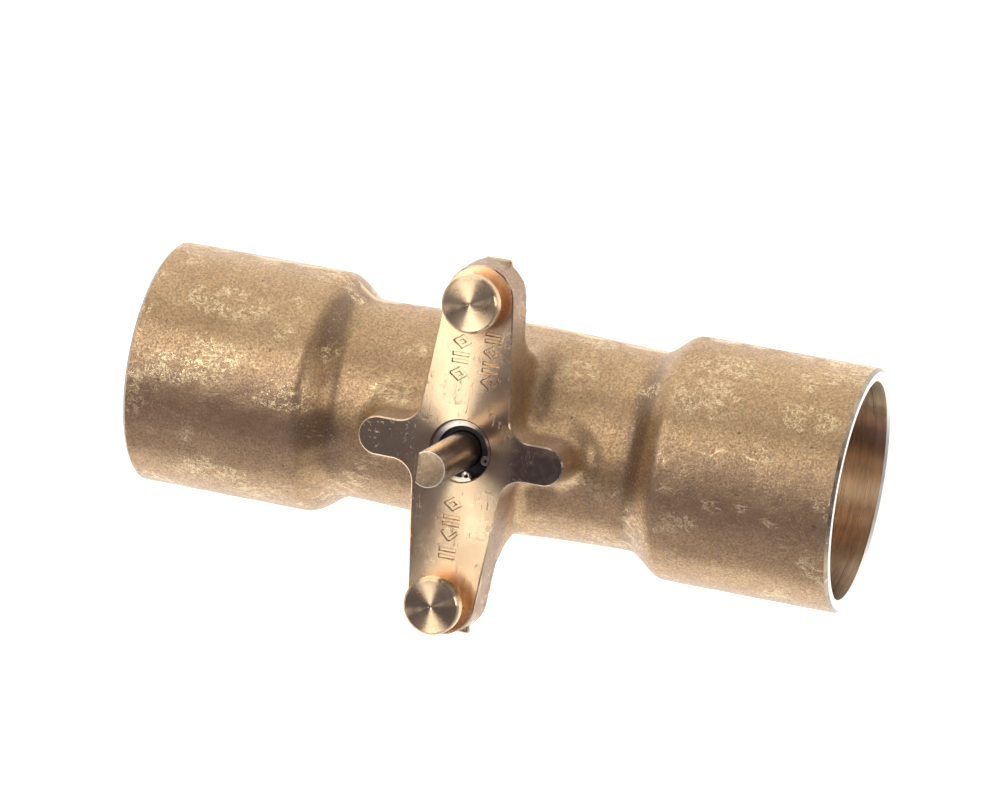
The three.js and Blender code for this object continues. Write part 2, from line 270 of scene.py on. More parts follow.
def smooth_max(a, b, k):
    h = np.clip(0.5 - 0.5 * (b - a) / k, 0, 1)
    return b + (a - b) * h + k * h * (1 - h)


def fillet_union(a, b, radius):
    """Union of two distances, with a concave fillet of that radius."""
    u, v = np.maximum(radius - a, 0), np.maximum(radius - b, 0)
    return np.maximum(radius, np.minimum(a, b)) - np.hypot(u, v)


def tube_radius(x):
    """Outer radius of the forged tube: two sockets, two shoulders and a slightly barrelled neck."""
    away = np.abs(x)
    neck = NECK_END_R + (NECK_R - NECK_END_R) * (1 - smoothstep((away - 5) / 14))
    rise = smoothstep((away - NECK_END_X) / (SHOULDER_END_X - NECK_END_X))
    return neck + (SOCKET_R - neck) * rise


def ripple(x, y, z, wavelength, seed):
    """Smooth random field between about -1 and 1, from a few plane waves."""
    rng = np.random.default_rng(seed)
    total = 0.0
    waves = 7
    for _ in range(waves):
        k = rng.normal(size=3)
        k *= 2 * math.pi / wavelength / np.linalg.norm(k) * rng.uniform(0.7, 1.4)
        total = total + np.sin(k[0] * x + k[1] * y + k[2] * z + rng.uniform(0, 2 * math.pi))
    return total / math.sqrt(waves)


MACHINING_STOCK = 0.8
FLASH_HALF_HEIGHT = 0.75
TAB_REACH = 0.42
UNDERSIDE_BLEND = 1.6
PAD_FILLET_R = 2.6


def pad_side():
    """The pad seen from the side, in (y, z): level under the arm ends, then down to the neck."""
    half = [
        (ARM_TIP_Y + 3, PAD_Z + 3),
        (ARM_TIP_Y + 3, ARM_UNDERSIDE_Z),
        (18.2, ARM_UNDERSIDE_Z),
        (15.6, 14.9),
        (13.6, 13.2),
        (12.2, 10.0),
        (11.6, 5.0),
    ]
    return np.array(half + [(-y, z) for y, z in reversed(half)])


def forged_distance(x, y, z):
    """Signed distance to the blank as it leaves the dies, with the pad's face left overheight."""
    slope = (tube_radius(x + 0.05) - tube_radius(x - 0.05)) / 0.1
    tube = (np.hypot(y, z) - tube_radius(x)) / np.sqrt(1 + slope ** 2)
    # Trimmed flash: a low, uneven ridge along the die's parting plane on both flanks.
    strength = 0.10 + 0.09 * np.sin(x / 2.3) * np.sin(x / 5.1 + 1) + 0.07 * np.sin(x / 0.9)
    flash = np.clip(strength, 0, 1) * np.exp(-((z / FLASH_HALF_HEIGHT) ** 2))
    tube = np.maximum(tube - flash * (np.abs(y) > 8), np.abs(x) - (HALF_LENGTH + MACHINING_STOCK))

    outline = polygon_distance(x, y, pad_outline())
    walls = outline - DRAFT * (PAD_Z - z)
    side = polygon_distance(y, z, pad_side())
    pad = smooth_max(walls, side, UNDERSIDE_BLEND)
    # A thin collar of flash around the arms at their lower edge.
    collar = np.maximum(walls - 0.05, np.abs(z - ARM_UNDERSIDE_Z - 0.75) - 0.45)
    pad = np.minimum(pad, np.maximum(collar, 14.5 - np.abs(y)))
    # One small tab of flash at the tip of each long arm.
    for centre_x, sign, half_width in ((0.5, 1, 1.8), (1.9, -1, 1.2)):
        tab = np.maximum(np.abs(x - centre_x) - half_width, np.abs(z - ARM_UNDERSIDE_Z - 0.55) - 0.3)
        tab = np.maximum(tab, np.abs(sign * y - ARM_TIP_Y) - TAB_REACH)
        pad = np.minimum(pad, tab)
    blank = fillet_union(tube, pad, PAD_FILLET_R)
    blank = blank + 0.014 * ripple(x, y, z, 4.0, 3) + 0.009 * ripple(x, y, z, 1.9, 5)
    return np.maximum(blank, z - (PAD_Z + MACHINING_STOCK))


def forged_blank(voxel):
    margin = 3 * voxel
    low = np.array([-HALF_LENGTH - 1.2, -ARM_TIP_Y - 1.5, -SOCKET_R - 0.6]) - margin
    high = np.array([HALF_LENGTH + 1.2, ARM_TIP_Y + 1.5, PAD_Z + 1.0]) + margin
    axes = [np.arange(a, b, voxel) for a, b in zip(low, high)]
    distance = forged_distance(*np.meshgrid(*axes, indexing="ij", sparse=True))
    grid = openvdb.FloatGrid(4 * voxel)
    grid.copyFromArray(np.clip(distance, -4 * voxel, 4 * voxel).astype(np.float32))
    points, quads = grid.convertToQuads()
    points = settled(points * voxel + low)
    return mesh_from("forged_blank", points, quads.tolist())


def settled(points):
    """Moves points onto the blank's true surface along its gradient."""
    step = 0.02
    longest_move = 0.2
    for _ in range(2):
        x, y, z = points.T
        here = forged_distance(x, y, z)
        gradient = np.stack([
            forged_distance(x + step, y, z) - forged_distance(x - step, y, z),
            forged_distance(x, y + step, z) - forged_distance(x, y - step, z),
            forged_distance(x, y, z + step) - forged_distance(x, y, z - step),
        ], axis=1) / (2 * step)
        size = np.maximum((gradient ** 2).sum(1), 0.2)
        move = (here / size)[:, None] * gradient
        points = points - np.clip(move, -longest_move, longest_move)
    return points


# ---- Machining of the body ----

CHAMBER_R = 11.3
INLET_SHOULDER_X = -11.6
INLET_PASSAGE_R = 9.0
THREAD_START_X = 14.0
THREAD_R = 11.9
THREAD_END_X = 20.0
RELIEF_R = 12.2
STEM_BORE_R = 4.0
STEM_THROAT_R = 3.3
STEM_LEDGE_Z = 12.3
CLIP_GROOVE_R = 4.5
CLIP_GROOVE_Z = (19.5, 20.4)
STUD_PIN_R = 2.4
STUD_PIN_Z = 17.0
MACHINING_SEGMENTS = 128


def flow_bore():
    """Everything that is cut from the two ends, as one turned tool."""
    past = HALF_LENGTH + 3
    mouth = SOCKET_BORE_R + 0.3
    bevel = 0.35
    half_thread = 0.35
    thread = []
    for i in range(8):
        start = THREAD_START_X + 0.3 + i * 2 * half_thread
        thread += [(start, THREAD_R - 0.05), (start + half_thread, THREAD_R + 0.25)]
    socket = [
        (TUBE_STOP_X, RELIEF_R), (TUBE_STOP_X, SOCKET_BORE_R - 0.3),
        (TUBE_STOP_X + 0.3, SOCKET_BORE_R), (HALF_LENGTH - bevel, SOCKET_BORE_R),
        (HALF_LENGTH, mouth), (past, mouth), (past, 0),
    ]
    return turned_mesh("flow_bore", [
        *((-along, r) for along, r in reversed(socket)),
        (-THREAD_END_X, INLET_PASSAGE_R + 0.4), (-THREAD_END_X + 0.6, INLET_PASSAGE_R),
        (INLET_SHOULDER_X, INLET_PASSAGE_R), (INLET_SHOULDER_X, CHAMBER_R),
        (THREAD_START_X, CHAMBER_R), *thread,
        (THREAD_END_X, THREAD_R), (THREAD_END_X, RELIEF_R),
        *socket,
    ], MACHINING_SEGMENTS, axis="X")


def facing_tool(sign):
    """Turns one socket's end face and takes the sharp outer edge off."""
    outer = SOCKET_R + 3
    edge = 0.45
    profile = [
        (HALF_LENGTH, 0),
        (HALF_LENGTH, SOCKET_R - edge),
        (HALF_LENGTH - edge, SOCKET_R + 0.02),
        (HALF_LENGTH - edge - 0.25, outer),
        (HALF_LENGTH + 3, outer),
        (HALF_LENGTH + 3, 0),
    ]
    return turned_mesh("facing_tool", [(sign * along, r) for along, r in profile],
                       MACHINING_SEGMENTS, axis="X")


def stem_bore():
    low, high = CLIP_GROOVE_Z
    return turned_mesh("stem_bore", [
        (9, 0),
        (9, STEM_THROAT_R),
        (STEM_LEDGE_Z, STEM_THROAT_R),
        (STEM_LEDGE_Z, STEM_BORE_R),
        (low, STEM_BORE_R),
        (low, CLIP_GROOVE_R),
        (high, CLIP_GROOVE_R),
        (high, STEM_BORE_R),
        (PAD_Z - 0.16, STEM_BORE_R),
        (PAD_Z + 0.5, STEM_BORE_R + 0.66),
        (PAD_Z + 0.5, 0),
    ], MACHINING_SEGMENTS)


def stud_hole(y):
    radius = STUD_PIN_R + 0.05
    mesh = turned_mesh("stud_hole", [
        (STUD_PIN_Z - 0.3, 0),
        (STUD_PIN_Z - 0.3, radius),
        (PAD_Z - 0.12, radius),
        (PAD_Z + 0.5, radius + 0.62),
        (PAD_Z + 0.5, 0),
    ], 64)
    mesh.transform(Matrix.Translation((0, y * MM, 0)))
    return mesh


def pad_facing():
    """A slab that takes everything above the pad's machined face."""
    reach = 40.0
    return block_mesh((-reach, -reach, PAD_Z), (reach, reach, PAD_Z + 5))


def swept_bar(name, outline, section, base_z):
    """A closed bar that follows a closed outline; section points are (outwards, up)."""
    tangent = np.roll(outline, -1, axis=0) - np.roll(outline, 1, axis=0)
    tangent /= np.linalg.norm(tangent, axis=1)[:, None]
    normal = np.stack([tangent[:, 1], -tangent[:, 0]], axis=1)
    points = []
    for place, out in zip(outline, normal):
        for across, up in section:
            points.append((*(place + out * across), base_z + up))
    count, sides = len(outline), len(section)
    faces = []
    for i in range(count):
        here, there = sides * i, sides * ((i + 1) % count)
        for a in range(sides):
            b = (a + 1) % sides
            faces.append((here + a, here + b, there + b, there + a))
    return outward(mesh_from(name, points, faces))


def edge_break(width):
    """A triangular bar that takes the sharp edge off the pad's face all round."""
    beyond = 0.5
    section = ((-width - beyond, beyond), (beyond, -width - beyond), (beyond, beyond))
    return swept_bar("edge_break", pad_outline(2), section, PAD_Z)


MARK_DEPTH = 0.26
MARK_STROKE = 0.17
MARK_HALF_WIDTH = 0.85


def mark_bar(start, end):
    """A stamped straight stroke with sloping sides."""
    start, end = np.array(start), np.array(end)
    along = (end - start) / np.linalg.norm(end - start)
    across = np.array((-along[1], along[0]))
    outlines = []
    for z, half in ((PAD_Z - MARK_DEPTH, MARK_STROKE), (PAD_Z + 0.3, MARK_STROKE + 0.25)):
        near, far = start - along * half, end + along * half
        side = across * half
        corners = (near - side, far - side, far + side, near + side)
        outlines.append([(*corner, z) for corner in corners])
    return between("mark_bar", *outlines)


def mark_diamond(x, y):
    half_height = 0.6
    corners = (
        (x + MARK_HALF_WIDTH, y), (x, y + half_height),
        (x - MARK_HALF_WIDTH, y), (x, y - half_height),
    )
    return [mark_bar(a, b) for a, b in zip(corners, corners[1:] + corners[:1])]


def mark_bars(x, y):
    left, right = x - MARK_HALF_WIDTH, x + MARK_HALF_WIDTH
    return [mark_bar((left, y + up), (right, y + up)) for up in (-0.45, 0.45)]


def mark_chevron(x, y):
    return [
        mark_bar((x + side * MARK_HALF_WIDTH, y + 0.5), (x + side * 0.12, y - 0.25))
        for side in (-1, 1)
    ]


def mark_dot(x, y):
    return [prism_mesh("mark_dot", arc((x, y), 0.16, 0, 345, 23), PAD_Z - 0.12, PAD_Z + 0.3)]


def stamped_marks():
    """Plain inspection punches on both long arms."""
    tools = []
    for kind, x, y in (
        (mark_diamond, -1.5, 14.1), (mark_bars, -1.5, 12.0),
        (mark_diamond, -1.5, 9.9), (mark_dot, -1.1, 7.8),
        (mark_bars, 2.5, 15.2), (mark_diamond, 2.6, 13.3),
        (mark_bars, 2.6, 11.4), (mark_diamond, 2.7, 9.4),
        (mark_diamond, 0.0, -7.0), (mark_bars, 0.0, -9.2),
        (mark_chevron, 0.0, -11.3), (mark_bars, 0.0, -13.5),
    ):
        tools += kind(x, y)
    return tools


def machined_body(voxel):
    mesh = forged_blank(voxel)
    tools = [
        pad_facing(), edge_break(0.17), facing_tool(1), facing_tool(-1),
        flow_bore(), stem_bore(), stud_hole(STUD_Y), stud_hole(-STUD_Y),
    ]
    for tool in tools + stamped_marks():
        mesh = boolean(mesh, tool)
    return mesh


FORGED, FACED, BORED, ENDED, CHAMFERED = range(5)


def assign_finishes(mesh):
    """Material slots by where each face lies: as forged, faced pad, bored holes, turned ends."""
    count = len(mesh.polygons)

    def per_face(key):
        values = np.zeros(count * 3)
        mesh.polygons.foreach_get(key, values)
        return values.reshape(-1, 3).T

    x, y, z = per_face("center") / MM
    nx, ny, nz = per_face("normal")
    radial = np.hypot(y, z)
    inwards = (ny * y + nz * z) / np.maximum(radial, 1e-6) < 0.2
    about_stem = np.hypot(x, y)
    about_stud = np.hypot(x, np.abs(y) - STUD_Y)
    finish = np.full(count, FORGED)
    finish[(z > PAD_Z - 0.175) & (nz > 0.5)] = FACED
    # The stamps lie in a strip along the long arms, between the stem and the studs.
    in_strip = (np.abs(x - 0.8) < 3.0) & (np.abs(y) > 6) & (about_stem < 16.5)
    stamped = in_strip & (z > PAD_Z - MARK_DEPTH - 0.01) & (z < PAD_Z - 0.02)
    finish[stamped] = np.where(nz[stamped] > 0.9, FACED, BORED)
    finish[(about_stem < 4.8) & (z > 9) & (z < PAD_Z - 1e-3)] = BORED
    finish[(about_stud < STUD_PIN_R + 0.3) & (z > STUD_PIN_Z - 0.5) & (z < PAD_Z - 1e-3)] = BORED
    finish[(radial < RELIEF_R + 0.7) & (np.abs(x) < TUBE_STOP_X + 0.1)] = BORED
    finish[(radial < SOCKET_BORE_R + 0.1) & (np.abs(x) > TUBE_STOP_X - 0.1) & inwards] = BORED
    at_end = np.abs(x) > HALF_LENGTH - 1.0
    finish[at_end & (np.abs(nx) > 0.3)] = ENDED
    finish[at_end & (np.abs(nx) > 0.3) & (np.abs(nx) < 0.9) & (radial > SOCKET_R - 0.6)] = CHAMFERED
    mesh.polygons.foreach_set("material_index", finish.astype(np.int32))


# ---- Turned and stamped pieces ----


def place(node, mesh, body, materials, slot, at=(0, 0, 0), angle=30.0):
    """Puts a finished mesh in the scene in place of its CAD node."""
    mesh.name = node + "_surface"
    piece = add_object("visual_" + node, shade(mesh, angle))
    piece.location = Vector(at) * MM
    flatter = piece.modifiers.new("flat_faces_stay_flat", "WEIGHTED_NORMAL")
    flatter.keep_sharp = True
    for material in materials:
        piece.data.materials.append(material)
    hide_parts(node)
    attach(piece, body)


BALL_R = 10.8
PORT_R = 7.5
SLOT_HALF_WIDTH = 1.55
SLOT_FLOOR_Z = 8.6


def ball_mesh():
    edge = math.degrees(math.asin(PORT_R / BALL_R))
    lip = 0.35
    skin = arc((0, 0), BALL_R, edge + 2.5, 180 - edge - 2.5, 72)
    port_x = math.sqrt(BALL_R ** 2 - PORT_R ** 2)
    profile = skin + [(-port_x, PORT_R + 0.12), (-port_x + lip, PORT_R),
                      (port_x - lip, PORT_R), (port_x, PORT_R + 0.12)]
    mesh = turned_mesh("ball", profile, 144, axis="X")
    slot = block_mesh((-SLOT_HALF_WIDTH, -BALL_R, SLOT_FLOOR_Z),
                      (SLOT_HALF_WIDTH, BALL_R, BALL_R + 1))
    return bevelled(boolean(mesh, slot), 0.12, angle=50)


def seat_profile(sign):
    """Cup seat: ball face, outer land, O-ring notch at the back, relieved bore."""
    high = box_mm("outlet_seat")[1]
    back, outer = high.x, high.y
    face_r = BALL_R + 0.12
    bore, lip = 7.7, 9.4
    notch_x, notch_r = back - 1.5, 9.95
    first, last = (math.degrees(math.asin(r / face_r)) for r in (bore, lip))
    face = arc((0, 0), face_r, first, last, 14)
    face_end = face[-1][0]
    rest = [(face_end, outer), (notch_x, outer), (notch_x, notch_r), (back, notch_r), (back, bore)]
    return [(sign * along, r) for along, r in face + rest]


def o_ring_mesh(node, axis):
    """A torus that fills the box of its CAD node."""
    low, high = box_mm(node)
    along = 0 if axis == "X" else 2
    centre = (low[along] + high[along]) / 2
    section = (high[along] - low[along]) / 2
    return turned_mesh(node, arc((centre, high.y - section), section, 0, 342, 19), 96, axis)


def retainer_mesh():
    low, high = box_mm("seat_retainer")
    thread_r, nose_r, bore_r = high.y, 11.2, 8.6
    nose_end = 14.2
    groove_start, groove_end, groove_r = 12.3, 13.5, 10.1
    pitch, thread_depth = 0.7, 0.32
    thread = []
    turns = int((high.x - 0.5 - nose_end - 0.3) / pitch)
    for i in range(turns):
        start = nose_end + 0.3 + i * pitch
        thread += [(start + 0.12 * pitch, thread_r), (start + 0.38 * pitch, thread_r),
                   (start + 0.62 * pitch, thread_r - thread_depth),
                   (start + 0.88 * pitch, thread_r - thread_depth)]
    profile = [
        (low.x, bore_r + 0.3), (low.x, nose_r - 0.15), (low.x + 0.15, nose_r),
        (groove_start, nose_r), (groove_start, groove_r), (groove_end, groove_r), (groove_end, nose_r),
        (nose_end, nose_r), (nose_end, thread_r - 0.3), *thread,
        (high.x - 0.3, thread_r - 0.1), (high.x, thread_r - 0.4),
        (high.x, bore_r + 0.5), (high.x - 0.5, bore_r), (low.x + 0.3, bore_r),
    ]
    mesh = turned_mesh("seat_retainer", profile, 120, axis="X")
    slot_half, slot_depth = 1.2, 2.0
    for turn in (45, 135):
        slot = block_mesh((high.x - slot_depth, -thread_r - 1, -slot_half),
                          (high.x + 1, thread_r + 1, slot_half))
        slot.transform(Matrix.Rotation(math.radians(turn), 4, "X"))
        mesh = boolean(mesh, slot)
    return bevelled(mesh, 0.1, angle=50)


STEM_SHANK_R = 2.35
STEM_FLAT_X = -1.3
STEM_FLAT_LENGTH = 10.0


def stem_mesh():
    low, high = box_mm("stem")
    drum_r, tang_r, groove_r = high.y, 3.15, 2.4
    drum = (12.9, 18.0)
    groove_half = 0.9
    grooves = []
    for centre in (14.3, 16.7):
        start, end = centre - groove_half, centre + groove_half
        grooves += [(start, drum_r), (start, groove_r), (end, groove_r), (end, drum_r)]
    profile = [
        (low.z, 0), (low.z, tang_r), (drum[0], tang_r), (drum[0], drum_r), *grooves,
        (drum[1], drum_r), (drum[1], STEM_SHANK_R), (high.z, STEM_SHANK_R), (high.z, 0),
    ]
    mesh = turned_mesh("stem", rounded(profile, 0.16, 3, closed=False), 128)
    wide, tang_half = 9.0, 1.45
    for sign in (1, -1):
        near, far = sign * tang_half, sign * wide
        flat = block_mesh((min(near, far), -wide, low.z - 1),
                          (max(near, far), wide, BALL_R + 0.4))
        mesh = boolean(mesh, flat)
    drive = block_mesh((-wide, -wide, high.z - STEM_FLAT_LENGTH), (STEM_FLAT_X, wide, high.z + 1))
    return bevelled(boolean(mesh, drive), 0.09, angle=40)


def stud_mesh(node):
    low, high = box_mm(node)
    head_r = high.x
    head = 1.6
    under = high.z - head
    profile = [
        (low.z, 0), (low.z, STUD_PIN_R - 0.3), (low.z + 0.3, STUD_PIN_R), (under - 0.25, STUD_PIN_R),
        (under - 0.07, STUD_PIN_R + 0.07), (under, STUD_PIN_R + 0.25), (under, head_r - 0.12),
        (under + 0.12, head_r), (high.z - 0.36, head_r), (high.z - 0.3, head_r - 0.03),
        (high.z - 0.03, head_r - 0.3), (high.z, head_r - 0.36), (high.z - 0.015, head_r - 0.5),
        (high.z - 0.015, 0.34), (high.z - 0.05, 0.26), (high.z - 0.16, 0.0),
    ]
    return turned_mesh(node, profile, 128)


CLIP_TURN = -43


def clip_mesh():
    """Internal retaining ring: widest opposite its gap, with a drilled lug on each side of it."""
    low, high = box_mm("stem_retaining_ring")
    outer_r, inner_r = CLIP_GROOVE_R - 0.1, 3.38
    shift = 0.22
    gap_half, lug_angle = 16, 29
    lug_r, lug_centre_r, lug_hole_r = 0.62, 3.42, 0.22
    outline = arc((0, 0), outer_r, gap_half, 360 - gap_half, 96)
    outline += arc((shift, 0), inner_r, 360 - lug_angle, lug_angle, 84)
    mesh = prism_mesh("clip", outline, low.z, high.z)
    for operation, radius, reach in (("UNION", lug_r, 0.0), ("DIFFERENCE", lug_hole_r, 0.2)):
        for sign in (1, -1):
            angle = math.radians(sign * lug_angle)
            centre = (lug_centre_r * math.cos(angle), lug_centre_r * math.sin(angle))
            disc = arc(centre, radius, 0, 352.5, 47)
            mesh = boolean(mesh, prism_mesh("lug", disc, low.z - reach, high.z + reach), operation)
    mesh.transform(Matrix.Rotation(math.radians(CLIP_TURN), 4, "Z"))
    return bevelled(mesh, 0.07, angle=40)


def washer_mesh(node, bore_r, edge):
    low, high = box_mm(node)
    profile = [(low.z, bore_r), (low.z, high.y), (high.z, high.y), (high.z, bore_r)]
    return turned_mesh(node, rounded(profile, edge), 96)


# ---- Materials ----


class Paint:
    """One procedural material, built up step by step. Texture lengths are in millimetres."""

    def __init__(self, name, metallic=1.0, **constants):
        self.material = bpy.data.materials.new(name)
        self.material.use_nodes = True
        self.nodes = self.material.node_tree.nodes
        self.links = self.material.node_tree.links
        self.shader = self.nodes["Principled BSDF"]
        self.set(metallic=metallic, **constants)
        self.local = self.node("ShaderNodeTexCoord").outputs["Object"]
        self.point = self.vector("SCALE", self.local, scale=1 / MM)
        self.geometry = self.node("ShaderNodeNewGeometry")
        self.edge = self.geometry.outputs["Pointiness"]

    @staticmethod
    def socket_name(key):
        return "IOR" if key == "ior" else key.replace("_", " ").title()

    def node(self, kind, **settings):
        made = self.nodes.new(kind)
        for key, value in settings.items():
            setattr(made, key, value)
        return made

    def feed(self, socket, value):
        if isinstance(value, bpy.types.NodeSocket):
            self.links.new(value, socket)
        elif isinstance(value, (tuple, list)) and len(value) == 3 and socket.type == "RGBA":
            socket.default_value = (*value, 1.0)
        else:
            socket.default_value = value

    def set(self, **inputs):
        for key, value in inputs.items():
            self.feed(self.shader.inputs[self.socket_name(key)], value)
        return self.material

    def math(self, operation, a, b=0.0):
        made = self.node("ShaderNodeMath", operation=operation)
        self.feed(made.inputs[0], a)
        self.feed(made.inputs[1], b)
        return made.outputs[0]

    def vector(self, operation, a, b=None, scale=None):
        made = self.node("ShaderNodeVectorMath", operation=operation)
        self.feed(made.inputs[0], a)
        if b is not None:
            self.feed(made.inputs[1], b)
        if scale is not None:
            self.feed(made.inputs["Scale"], scale)
        return made.outputs["Vector"]

    def parts(self):
        made = self.node("ShaderNodeSeparateXYZ")
        self.feed(made.inputs[0], self.point)
        return made.outputs

    def noise(self, size, detail=2.0, stretch=(1, 1, 1), seed=0.0, rough=0.5, distort=0.0):
        where = self.vector("MULTIPLY", self.point, tuple(1 / (size * s) for s in stretch))
        where = self.vector("ADD", where, (seed, seed * 1.7, -seed))
        made = self.node("ShaderNodeTexNoise")
        self.feed(made.inputs["Vector"], where)
        settings = {"Scale": 1.0, "Detail": detail, "Roughness": rough, "Distortion": distort}
        for key, value in settings.items():
            made.inputs[key].default_value = value
        return made.outputs["Fac"]

    def span(self, value, low, high, to_low=0.0, to_high=1.0):
        """Value re-scaled from low..high to to_low..to_high, held at the ends."""
        made = self.node("ShaderNodeMapRange", interpolation_type="SMOOTHSTEP")
        for i, item in enumerate((value, low, high, to_low, to_high)):
            self.feed(made.inputs[i], item)
        return made.outputs[0]

    def patches(self, low, high, size, detail, to=(0.0, 1.0), **noise):
        """Noise re-scaled between two of its levels."""
        return self.span(self.noise(size, detail, **noise), low, high, *to)

    def band(self, value, centre, half_width):
        """One at the centre of a band, falling to nothing at its edges."""
        away = self.math("ABSOLUTE", self.math("SUBTRACT", value, centre))
        return self.span(away, 0.0, half_width, 1.0, 0.0)

    def chain(self, operation, first, others):
        for other in others:
            first = self.math(operation, first, other)
        return first

    def total(self, first, *others):
        return self.chain("ADD", first, others)

    def product(self, first, *others):
        return self.chain("MULTIPLY", first, others)

    def largest(self, first, *others):
        return self.chain("MAXIMUM", first, others)

    def length(self, a, b):
        """Distance from an axis, from the two coordinates across it."""
        return self.math("SQRT", self.total(self.product(a, a), self.product(b, b)))

    def mix(self, amount, a, b, blend="MIX"):
        made = self.node("ShaderNodeMix", data_type="RGBA", blend_type=blend)
        self.feed(made.inputs[0], amount)
        self.feed(made.inputs[6], a)
        self.feed(made.inputs[7], b)
        return made.outputs[2]

    def shaded(self, colour, factor):
        """A colour times a plain number."""
        return self.vector("SCALE", colour, scale=factor)

    def bump(self, height, depth, over=None):
        made = self.node("ShaderNodeBump")
        made.inputs["Strength"].default_value = 1.0
        made.inputs["Distance"].default_value = depth * MM
        self.feed(made.inputs["Height"], height)
        if over:
            self.feed(made.inputs["Normal"], over)
        return made.outputs["Normal"]

    def radius(self):
        """Distance from the piece's own Z axis."""
        return self.length(*self.parts()[:2])

    def turned_tangent(self, axis=(0, 0, 1)):
        """Direction across a lathe's tool marks, wherever they lie on a turned piece."""
        around = self.vector("CROSS_PRODUCT", axis, self.local)
        to_world = self.node("ShaderNodeVectorTransform", vector_type="VECTOR",
                             convert_from="OBJECT", convert_to="WORLD")
        self.feed(to_world.inputs[0], around)
        return self.vector("CROSS_PRODUCT", to_world.outputs[0], self.geometry.outputs["Normal"])

    def tool_marks(self, along, pitch, seed=0.0):
        """Fine parallel grooves of uneven depth, counted along one coordinate."""
        made = self.node("ShaderNodeTexNoise", noise_dimensions="1D")
        self.feed(made.inputs["W"], self.total(self.math("DIVIDE", along, pitch), seed))
        made.inputs["Scale"].default_value = 1.0
        made.inputs["Detail"].default_value = 3.0
        return made.outputs["Fac"]


# Spots on the forging: x and half length along the pipe in millimetres, then the lean from the top
# towards +Y and half width round the pipe in degrees.
SHOULDER_DARK_SPOTS = ((-22.3, 2.4, 52, 42), (-21.5, 4.5, -10, 20), (20.8, 2.6, 22, 85))
# SHADED_ROOTS is painted shade round the pad's root, where the arms shade the neck.
SHADED_ROOTS = ((7.0, 3.4, 40, 34), (11.5, 3.2, 4, 18), (9.5, 3.0, -16, 16))
RUBBED_SPOTS = (
    (-40, 7, 10, 10), (-26, 6, 6, 9), (-37, 8, 46, 12),
    (29, 6, 42, 14), (42, 6, 40, 10), (-36, 8, -44, 10),
)


